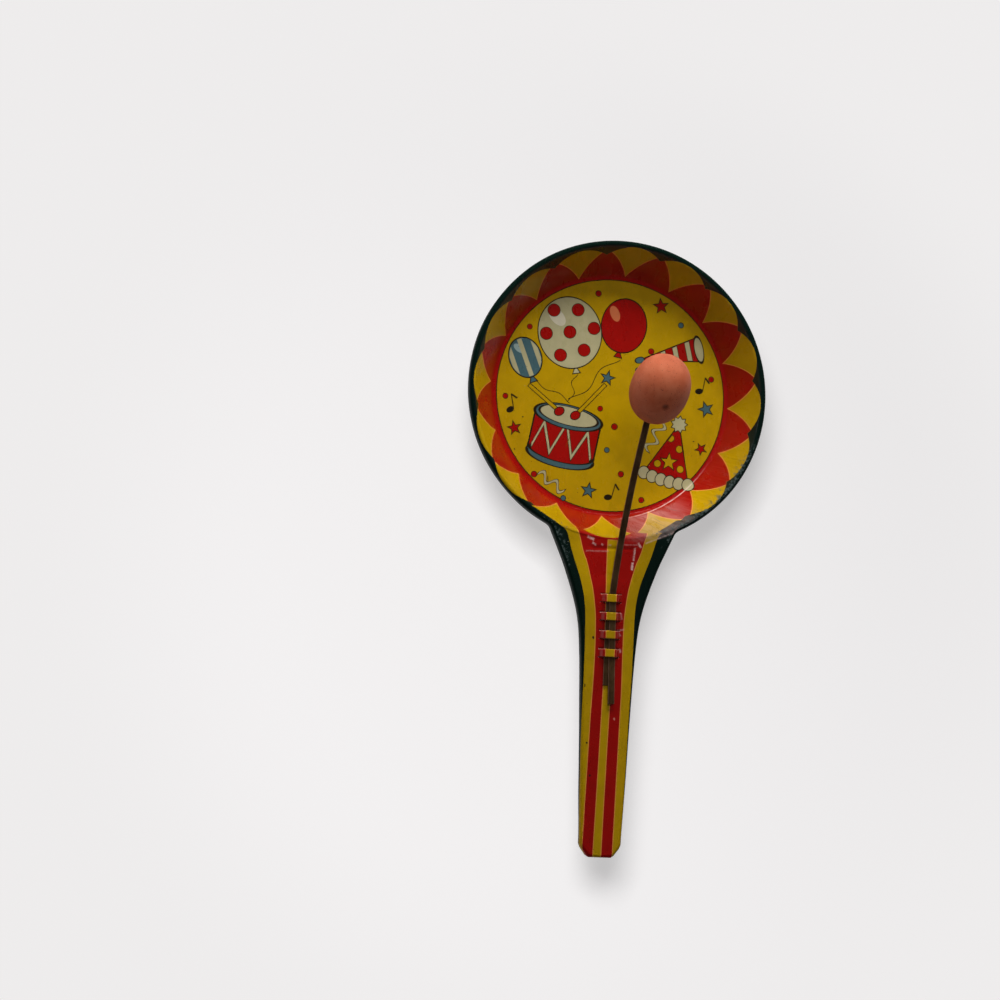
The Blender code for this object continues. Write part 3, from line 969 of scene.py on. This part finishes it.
def neck_rows(first_reach, first_half):
    """Distance and half width of each row across neck and handle, and where the slits start."""
    reaches = list(np.arange(*NECK_ROWS))
    slits = []
    for k in range(LOOP_COUNT):
        middle = LOOP_FIRST + k * LOOP_PITCH
        half = LOOP_WIDTH / 2
        low, high = middle - half, middle + half
        slits += [low - LOOP_SLIT, high]
        reaches += [low - LOOP_SLIT, *np.linspace(low, high, LOOP_ROWS), high + LOOP_SLIT]
        gap = LOOP_PITCH - LOOP_WIDTH - 2 * LOOP_SLIT
        reaches += list(high + LOOP_SLIT + gap * np.array([0.25, 0.5, 0.75]))
    reaches += list(np.arange(reaches[-1] + 1.0, HANDLE_ROWS_TO, HANDLE_ROWS_STEP))
    corner = [(first_reach, first_half), *CORNER]
    rows = [(reach, inset(reach)) for reach in reaches]
    line = corner + rows[:4]
    fillet = [(reach, smooth_line(line, reach)) for reach in FILLET_ROWS]
    rows = fillet + rows + list(HANDLE_END)
    return np.array(rows), slits


def outward_ways(walk):
    """For each point of a closed border, the way out that keeps its distance from both edges."""
    after = np.roll(walk, -1, axis=0) - walk
    after /= np.linalg.norm(after, axis=1)[:, None]
    before = np.roll(after, 1, axis=0)
    middle = before + after
    way = np.stack([middle[:, 1], -middle[:, 0]], axis=1)
    way /= np.linalg.norm(way, axis=1)[:, None]
    even = np.sqrt((1 + (before * after).sum(1)) / 2)
    return way / np.maximum(0.6, even)[:, None]


def wander(spot, size, seed):
    """Smooth noise from -1 to 1 with features of this size in millimetres."""
    return noise.noise(Vector((spot[0] / size, spot[1] / size, seed)))


def unevenness(points, border):
    """How far each point of the printed face is pressed in: shallow dents, a crease across the neck
    and the panel sunk below it."""
    x, y = points[:, 0], points[:, 1]
    dents = np.array([0.5 + 0.5 * wander(p, DENT_SIZE, 5.3) for p in points])
    reach = -y
    start, end = PANEL_SOFT
    panel = smooth_step(reach, PANEL_FROM - start, PANEL_FROM + start)
    panel = panel * smooth_step(-reach, -PANEL_TO, end - PANEL_TO)
    half = PANEL_HALF + np.array([PANEL_VARIES * wander(p, 4.5, 9.1) for p in points])
    panel = panel * smooth_step(half - np.abs(x), -PANEL_EDGE, PANEL_EDGE)
    crease = np.exp(-(((reach - PANEL_FROM) / CREASE_WIDTH) ** 2))
    crease = crease * smooth_step(-np.abs(x), *CREASE_SIDES)
    inside = smooth_step(-border, 0.0, 2.0)
    return (dents * DENT_DEPTH + panel * PANEL_DEPTH + crease * CREASE_DEPTH) * inside


class SheetMesh:
    """The printed face as points and faces, with each point's place in the flat print."""

    def __init__(self):
        self.points = [np.array([[0.0, 0.0, -DISH_DEPTH]])]
        self.flat = [np.zeros((1, 2))]
        self.border = [np.array([-PAN_RADIUS / MM])]
        self.count = 1
        self.faces = []
        self.lip = 0

    def add(self, points, flat, border):
        """Add a row of points and return their numbers."""
        first = self.count
        self.points.append(points)
        self.flat.append(flat)
        self.border.append(border)
        self.count += len(points)
        return np.arange(first, self.count)

    def join(self, inner, outer, closed, leave=None):
        """Faces between two rows of the same length."""
        last = len(inner) if closed else len(inner) - 1
        for k in range(last):
            if leave is not None and leave[k]:
                continue
            n = (k + 1) % len(inner)
            self.faces.append((inner[k], outer[k], outer[n], inner[n]))


def sheet_surface():
    mesh = SheetMesh()
    profile = dish_profile()
    angles = np.arange(PAN_SIDES) * 2 * math.pi / PAN_SIDES - math.pi / 2
    ways = np.stack([np.cos(angles), np.sin(angles)], axis=1)
    rings = []
    for radius, height in profile:
        spots = ways * radius
        points = np.column_stack([spots, np.full(PAN_SIDES, height)])
        rings.append(mesh.add(points, spots, np.full(PAN_SIDES, radius - profile[-1][0])))
    for k in range(PAN_SIDES):
        mesh.faces.append((0, rings[0][k], rings[0][(k + 1) % PAN_SIDES]))
    for inner, outer in zip(rings, rings[1:]):
        mesh.join(inner, outer, True)

    # Rows across the neck are scaled copies of the pan's arc that flatten toward the loops.
    half_columns = NECK_COLUMNS // 2
    columns = np.arange(-half_columns, half_columns + 1)
    arc = rings[-1][columns % PAN_SIDES]
    turn = columns * 2 * math.pi / PAN_SIDES
    radius = profile[-1][0]
    bulge = radius * (np.cos(turn) - math.cos(turn[0]))
    spread = np.sin(turn) / math.sin(turn[-1])
    first_reach, first_half = radius * math.cos(turn[0]), radius * math.sin(turn[-1])
    rows, slits = neck_rows(first_reach, first_half)
    share = np.abs(columns) / half_columns
    loop_share = LOOP_COLUMNS / half_columns
    neck = [arc]
    for reach, half in rows:
        foot = min(LOOP_FOOT, 0.48 * half)
        even = np.interp(share, (0.0, loop_share, 1.0), (0.0, foot, half)) * np.sign(columns)
        settled = smooth_step(reach, *NECK_FLATTENS)
        x = half * spread * (1 - settled) + even * settled
        fade = max(0.0, (ARC_GONE - reach) / (ARC_GONE - first_reach)) ** ARC_FADE
        y = -reach - bulge * fade
        raised = 1 - smooth_step(np.abs(x), LOOP_FLAT, LOOP_FOOT)
        if any(abs(reach - slit - LOOP_SLIT) < SAME for slit in slits[1::2]):
            y = y + LOOP_LAP * raised
        flat = np.column_stack([x, y])
        z = np.zeros_like(x)
        near = min(abs(reach - LOOP_FIRST - k * LOOP_PITCH) for k in range(LOOP_COUNT))
        if near <= LOOP_WIDTH / 2 + SAME:
            z = LOOP_HEIGHT * raised
        neck.append(mesh.add(np.column_stack([flat, z]), flat, np.abs(x) - half))
    on_band = np.abs(columns[:-1] + 0.5) < LOOP_COLUMNS
    for k, (inner, outer) in enumerate(zip(neck, neck[1:])):
        is_slit = k > 0 and any(abs(rows[k - 1][0] - slit) < SAME for slit in slits)
        mesh.join(inner, outer, False, on_band if is_slit else None)

    # The edge is rolled over and turned down all the way round.
    round_pan = rings[-1][np.arange(half_columns, PAN_SIDES - half_columns + 1) % PAN_SIDES]
    left = [row[0] for row in neck[1:]]
    right = [row[-1] for row in neck[1:]]
    walk = np.array([*round_pan, *left, *neck[-1][1:-1], *right[::-1]])
    base = np.concatenate(mesh.points)[walk]
    out_ways = outward_ways(base[:, :2])
    inner = walk
    drops = np.array([EDGE_DEPTH - DROP_VARIES * (0.5 + 0.5 * wander(p, 9.0, 3.1)) for p in base])
    lean = np.array([LEAN_VARIES * wander(p, 14.0, 7.7) - LEAN_IN for p in base])
    for k in range(1, ROLL_STEPS + DROP_STEPS + 1):
        if k == LIP_STEP:
            mesh.lip = len(mesh.faces)
        if k <= ROLL_STEPS:
            angle = math.pi / 2 * k / ROLL_STEPS
            out = np.full(len(walk), EDGE_ROUND * math.sin(angle))
            height = np.full(len(walk), -EDGE_ROUND * (1 - math.cos(angle)))
            run = EDGE_ROUND * angle
        else:
            part = (k - ROLL_STEPS) / DROP_STEPS
            out = EDGE_ROUND + lean * part * part
            height = -EDGE_ROUND - (drops - EDGE_ROUND) * part
            run = EDGE_ROUND * math.pi / 2 + (EDGE_DEPTH - EDGE_ROUND) * part
        points = base + np.column_stack([out_ways * out[:, None], height])
        outer = mesh.add(points, base[:, :2] + out_ways * run, np.full(len(walk), run))
        mesh.join(inner, outer, True)
        inner = outer
    return mesh


def placed(name, data):
    """A new object in the scene."""
    made = bpy.data.objects.new(name, data)
    bpy.context.scene.collection.objects.link(made)
    return made


def new_piece(name, points, faces, materials):
    """A smooth mesh from points in millimetres from the pan's centre."""
    mesh = bpy.data.meshes.new(name)
    corners = np.asarray(points, float) * MM + np.array(ORIGIN)
    mesh.from_pydata(corners, [], [tuple(int(i) for i in face) for face in faces])
    mesh.update()
    mesh.shade_smooth()
    for paint in materials:
        mesh.materials.append(paint)
    return placed(name, mesh)


def store(piece, name, values):
    """Keep a number or a place for each point of a mesh."""
    kind, key = ("FLOAT", "value") if np.ndim(values) == 1 else ("FLOAT_VECTOR", "vector")
    piece.data.attributes.new(name, kind, "POINT").data.foreach_set(key, np.ravel(values))


def printed_sheet():
    drawn = sheet_surface()
    points = np.concatenate(drawn.points)
    border = np.concatenate(drawn.border)
    points[:, 2] -= unevenness(points, border)
    back, edge = tin_back(), raw_edge()
    paints = (tin_print(), back, edge, rubbed_lip(), back, edge)
    piece = new_piece("printed_sheet", points, drawn.faces, paints)
    for face in piece.data.polygons[drawn.lip :]:
        face.material_index = 3
    flat = np.column_stack([np.concatenate(drawn.flat), np.zeros(len(points))])
    store(piece, "flat", flat)
    store(piece, "border", border)
    solid = piece.modifiers.new("thickness", "SOLIDIFY")
    solid.thickness = SHEET * MM
    solid.offset = -1.0
    solid.material_offset = 1
    solid.material_offset_rim = 2
    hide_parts("pressed_sheet")
    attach(piece, "sheet")


# Spring strips.
def front_line():
    """The middle of the front strip, from its tail to its end inside the ball."""
    level = 2 * STRIP_GAP + 1.5 * STRIP_THICKNESS
    tail = Vector((FRONT_TAIL[0], -FRONT_TAIL[1], level))
    start = Vector((FRONT_SIDE, -FRONT_BEND_AT, level))
    entry = FRONT_ENTRY
    flat = (entry - start).xy.length
    line = [tail.lerp(start, k / TAIL_STEPS) for k in range(TAIL_STEPS)]
    for k in range(STRIP_STEPS + 1):
        share = k / STRIP_STEPS
        here = start.lerp(entry, share)
        slopes = (FRONT_SLOPES[0] * flat, FRONT_SLOPES[1] * flat)
        here.z = hermite(start.z, entry.z, *slopes, share)
        line.append(here)
    return into_ball(line)


def rear_line():
    """The middle of the rear strip, from its tail to its end inside the ball."""
    reach, level, _ = REAR_PATH[0]
    steps = int((REAR_TAIL - reach) / REAR_STEP)
    line = [Vector((REAR_SIDE, -REAR_TAIL + k * REAR_STEP, level)) for k in range(steps)]
    line.append(Vector((REAR_SIDE, -reach, level)))
    for first, second in zip(REAR_PATH, REAR_PATH[1:]):
        run = first[0] - second[0]
        steps = math.ceil(run / REAR_STEP)
        for k in range(1, steps + 1):
            z = hermite(first[1], second[1], first[2] * run, second[2] * run, k / steps)
            line.append(Vector((REAR_SIDE, -first[0] + run * k / steps, z)))
    return into_ball(line)


def into_ball(line):
    """Carry a strip's line on, straight, to its end inside the ball."""
    along = (line[-1] - line[-2]).normalized()
    start = line[-1]
    shares = [k / IN_BALL_STEPS for k in range(1, IN_BALL_STEPS + 1)]
    return np.array(line + [start + along * (STRIP_IN_BALL * share) for share in shares])


def strip_section():
    """The strip's section as points (across, over) with softly rounded corners."""
    points = []
    half_across, half_over = STRIP_WIDTH / 2 - STRIP_CORNER, STRIP_THICKNESS / 2 - STRIP_CORNER
    for quarter, (x, z) in enumerate(((1, 1), (-1, 1), (-1, -1), (1, -1))):
        for k in range(4):
            angle = math.pi / 2 * (quarter + k / 3)
            out = Vector((math.cos(angle), math.sin(angle))) * STRIP_CORNER
            points.append((x * half_across + out.x, z * half_over + out.y))
    return np.array(points)


def ribbon(name, line, paint):
    """A strip along a line, bending from the sheet into the clapper's body."""
    along = np.gradient(line, axis=0)
    along /= np.linalg.norm(along, axis=1)[:, None]
    across = np.cross(along, (0, 0, 1))
    across /= np.linalg.norm(across, axis=1)[:, None]
    over = np.cross(across, along)
    section = strip_section()
    side = len(section)
    points, places = [], []
    run = 0.0
    for k, here in enumerate(line):
        if k:
            run += np.linalg.norm(here - line[k - 1])
        for x, z in section:
            points.append(here + across[k] * x + over[k] * z)
            places.append((x, run, z))
    faces = [list(range(side))[::-1]]
    for k in range(len(line) - 1):
        for n in range(side):
            m = (n + 1) % side
            first = k * side
            faces.append((first + n, first + m, first + side + m, first + side + n))
    faces.append([len(points) - side + n for n in range(side)])
    piece = new_piece("spring_" + name, points, faces, (paint,))
    piece.data.set_sharp_from_angle(angle=STRIP_SHARP)
    store(piece, "place", places)
    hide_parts(name)
    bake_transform(piece)


# Wooden balls.
def olive(name, centre, way, body, seed, pit=None):
    """A turned ball, longer along its strip than across it, with one pit toward a given way."""
    points = [(0.0, 0.0, BALL_HALF_LENGTH)]
    for k in range(1, BALL_RINGS):
        angle = math.pi * k / BALL_RINGS
        high, wide = math.cos(angle), math.sin(angle)
        swell = (abs(high) ** BALL_FULLNESS + wide**BALL_FULLNESS) ** (-1 / BALL_FULLNESS)
        for n in range(BALL_SIDES):
            turn = 2 * math.pi * n / BALL_SIDES
            reach = BALL_RADIUS * wide * swell
            level = BALL_HALF_LENGTH * high * swell
            points.append((reach * math.cos(turn), reach * math.sin(turn), level))
    points.append((0.0, 0.0, -BALL_HALF_LENGTH))
    places = np.array(points)
    faces = []
    for n in range(BALL_SIDES):
        m = (n + 1) % BALL_SIDES
        faces.append((0, 1 + n, 1 + m))
        for k in range(BALL_RINGS - 2):
            first = 1 + k * BALL_SIDES
            faces.append((first + n, first + BALL_SIDES + n, first + BALL_SIDES + m, first + m))
        last = len(points) - 1 - BALL_SIDES
        faces.append((last + n, len(points) - 1, last + m))
    turned = np.array(way.to_track_quat("Z", "Y").to_matrix())
    flats = np.array([0.5 + 0.5 * wander(p, FLAT_SIZE, seed + p[2] / FLAT_SIZE) for p in places])
    sunk = flats * FLAT_DEPTH
    if pit is not None:
        reach = np.linalg.norm(places, axis=1)
        pit = places[np.argmax(places @ (turned.T @ pit) / reach)]
        away = np.linalg.norm(places - pit, axis=1)
        sunk += PIT_DEPTH * (1 - smooth_step(away, PIT_SIZE * 0.25, PIT_SIZE))
    places *= (1 - sunk / BALL_RADIUS)[:, None]
    points = places @ turned.T + np.array(centre)
    paint = ball_paint(name + "_paint", seed, pit)
    piece = new_piece("wooden_" + name, points, faces, (paint,))
    store(piece, "place", places)
    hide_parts(name)
    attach(piece, body)


def strip_steel(name):
    """Dark tempered spring steel, brushed along its length and lighter along its edges, partly
    rubbed and partly a painted highlight.
    """
    made = new_material(name)
    place = stored(made, "place")
    across, along, _ = place.parts()
    brushed = place.noise(2.2, 4.0, 0.6, (4.0, 0.09, 4.0))
    clouds = place.noise(0.22, 4.0, 0.6, (1.0, 0.7, 1.0))
    colour = clouds.map(0.35, 0.65).mix(tint(84, 58, 32), tint(122, 92, 60))
    colour = (brushed.map(0.45, 0.75) * 0.5).mix(colour, tint(44, 28, 14))
    # Lighter along both edges: rubbing and a painted highlight.
    pale_band = abs(across).map(0.8, 0.96) * clouds.map(0.3, 0.6, 0.4, 1.0)
    colour = (pale_band * 0.8).mix(colour, tint(172, 128, 112))
    rust = specks(place, 0.9, 0.2, 0.16)
    colour = (rust * 0.7).mix(colour, tint(92, 46, 24))
    looks = {
        "Base Color": colour,
        "Metallic": rust.map(0.0, 1.0, 0.55, 0.2),
        "Roughness": brushed.map(0.3, 0.7, 0.34, 0.5) + rust * 0.2,
    }
    return dressed(made, looks, brushed * 0.006 + clouds * 0.01)


PAINT = (0.52, 0.113, 0.047, 1.0)
PAINT_PALE = (0.62, 0.176, 0.088, 1.0)
PAINT_DARK = (0.3, 0.06, 0.028, 1.0)
CHIP = tint(84, 42, 26)
SEED_LENGTH = 40.0


def ball_paint(name, seed, pit):
    """Salmon paint on turned wood: faint turning marks, pits, dark specks and rubbed ends."""
    made = new_material(name)
    spot = stored(made, "place")
    place = spot.vector("ADD", (0.0, 0.0, seed * SEED_LENGTH))
    across, up, along = spot.parts()
    clouds = place.noise(0.16, 4.0, 0.6)
    colour = clouds.map(0.32, 0.68).mix(PAINT, PAINT_PALE)
    grime = place.noise(0.45, 5.0, 0.7)
    colour = (grime.map(0.56, 0.74) * 0.5).mix(colour, PAINT_DARK)
    ends = abs(along).map(BALL_HALF_LENGTH * 0.8, BALL_HALF_LENGTH)
    colour = (ends * 0.35).mix(colour, PAINT_DARK)
    pits = specks(place, 0.75, 0.34, 0.2)
    dots = specks(place, 1.7, 0.3, 0.22)
    colour = (pits * 0.55).mix(colour, PAINT_DARK)
    colour = (dots * 0.75).mix(colour, CHIP)
    if pit is not None:
        hole = spot.vector("DISTANCE", tuple(pit), out="Value").map(1.5, 0.5)
        colour = (hole * 0.7).mix(colour, CHIP)
    turning = place.noise(2.6, 2.0, 0.5, (0.12, 0.12, 1.0))
    rough = grime * 0.05 + place.noise(2.4, 3.0, 0.6) * 0.028
    looks = {
        "Base Color": colour,
        "Roughness": clouds.map(0.3, 0.7, 0.52, 0.66) + pits * 0.1,
        "Specular IOR Level": 0.15,
    }
    return dressed(made, looks, rough + turning * 0.02 - pits * 0.11 - dots * 0.03)


def clappers():
    line = front_line()
    ribbon("front_strip", line, strip_steel("front_steel"))
    way = FRONT_BALL - FRONT_ENTRY
    olive("front_ball", FRONT_BALL, way, "front_clapper", 1.0, PIT_TOWARD)
    line = rear_line()
    ribbon("rear_strip", line, strip_steel("rear_steel"))
    entry = Vector(line[-IN_BALL_STEPS - 1])
    way = (Vector(line[-1]) - entry).normalized()
    centre = entry + way * REAR_BALL_STEP
    olive("rear_ball", centre, way, "rear_clapper", 2.0)


# Stage: floor, light and camera.
def add_camera():
    back = (EYE - AIM).normalized()
    right = UPWARD.cross(back).normalized()
    up = back.cross(right)
    data = bpy.data.cameras.new("camera")
    data.lens = LENS
    data.sensor_width = SENSOR
    data.clip_start, data.clip_end = 0.01, 20.0
    camera = placed("camera", data)
    camera.matrix_world = Matrix.Translation(EYE) @ Matrix((right, up, back)).transposed().to_4x4()
    bpy.context.scene.camera = camera
    return right, up, back


def add_lamp(name, toward, distance, width, height, level):
    """A soft box facing the pan. Its level is what a white surface facing it shows."""
    data = bpy.data.lights.new(name, "AREA")
    data.shape = "RECTANGLE"
    data.size, data.size_y = width, height
    data.energy = level * math.pi**2 * distance**2
    lamp = placed(name, data)
    lamp.location = ORIGIN + toward * distance
    lamp.rotation_mode = "QUATERNION"
    lamp.rotation_quaternion = toward.to_track_quat("Z", "Y")
    return lamp


def pale_floor():
    """A floor that shows its own pale tone. Near the object a share of it is real light, so that it
    keeps the object's shadow."""
    made = new_material("pale_floor")
    tree = made.node_tree
    shader = tree.nodes["Principled BSDF"]
    shader.inputs["Base Color"].default_value = FLOOR_TONE
    shader.inputs["Roughness"].default_value = 0.9
    shader.inputs["Specular IOR Level"].default_value = 0.0
    glow = tree.nodes.new("ShaderNodeEmission")
    glow.inputs["Color"].default_value = FLOOR_TONE
    spot = tree.nodes.new("ShaderNodeTexCoord")
    away = Field(spot.outputs["Object"]).vector("LENGTH", out="Value")
    lit = away.map(FLOOR_NEAR, FLOOR_FAR, FLOOR_LIT, 0.0, soft=True)
    _, along, _ = Field(spot.outputs["Object"]).parts()
    ends = (FLOOR_LIGHT + k * FLOOR_SLOPE * FLOOR_FAR for k in (-1, 1))
    expected = along.map(-FLOOR_FAR, FLOOR_FAR, *ends)
    feed(glow.inputs["Strength"], (-(lit * expected) + 1.0).math("DIVIDE", -lit + 1.0))
    seen = ray(tree, "Camera", "Glossy", "Transmission") * (-lit + 1.0)
    blend = tree.nodes.new("ShaderNodeMixShader")
    feed(blend.inputs[0], seen)
    tree.links.new(shader.outputs[0], blend.inputs[1])
    tree.links.new(glow.outputs[0], blend.inputs[2])
    tree.links.new(blend.outputs[0], tree.nodes["Material Output"].inputs["Surface"])
    return made


def ray(tree, *kinds):
    """1 for rays of these kinds."""
    path = tree.nodes.new("ShaderNodeLightPath")
    first, *others = (Field(path.outputs[f"Is {kind} Ray"]) for kind in kinds)
    return first.most(*others)


def studio_world():
    """Dim fill for the object. The camera sees the floor's tone; what mirrors the world sees it
    as a pale horizon under a dark ceiling."""
    world = bpy.data.worlds.new("studio")
    world.use_nodes = True
    tree = world.node_tree
    background = tree.nodes["Background"]
    place = tree.nodes.new("ShaderNodeTexCoord")
    _, _, height = Field(place.outputs["Generated"]).parts()
    mirrored = height.map(0.0, 0.2, soft=True).mix(FLOOR_TONE, WORLD_TOP)
    lit = ray(tree, "Glossy", "Transmission").mix(WORLD_FILL, mirrored)
    feed(background.inputs["Color"], ray(tree, "Camera").mix(lit, FLOOR_TONE))
    bpy.context.scene.world = world


def add_stage(right, up, back):
    work = bmesh.new()
    bmesh.ops.create_grid(work, x_segments=2, y_segments=2, size=FLOOR_SIZE)
    mesh = bpy.data.meshes.new("floor")
    work.to_mesh(mesh)
    work.free()
    mesh.materials.append(pale_floor())
    floor = placed("floor", mesh)
    floor.location.z = -FLOOR_DROP
    studio_world()
    lamps = (("key", KEY), ("window", WINDOW), ("overhead", OVERHEAD), ("floor_lamp", FLOOR_LAMP))
    for name, (slant, left, *lamp) in lamps:
        slant, left = math.radians(slant), math.radians(left)
        aside = up * math.cos(left) - right * math.sin(left)
        made = add_lamp(name, back * math.cos(slant) + aside * math.sin(slant), *lamp)
        made.visible_glossy = name == "window"

        # The last lamp lights the floor alone and the others leave it out, which sets the depth of
        # the object's shadow.
        lit = bpy.data.collections.new(name + "_lit")
        lit.objects.link(floor)
        state = "INCLUDE" if name == "floor_lamp" else "EXCLUDE"
        lit.collection_objects[0].light_linking.link_state = state
        made.light_linking.receiver_collection = lit


right, up, back = add_camera()
add_stage(right, up, back)
printed_sheet()
clappers()
bpy.context.scene.view_settings.view_transform = "Standard"
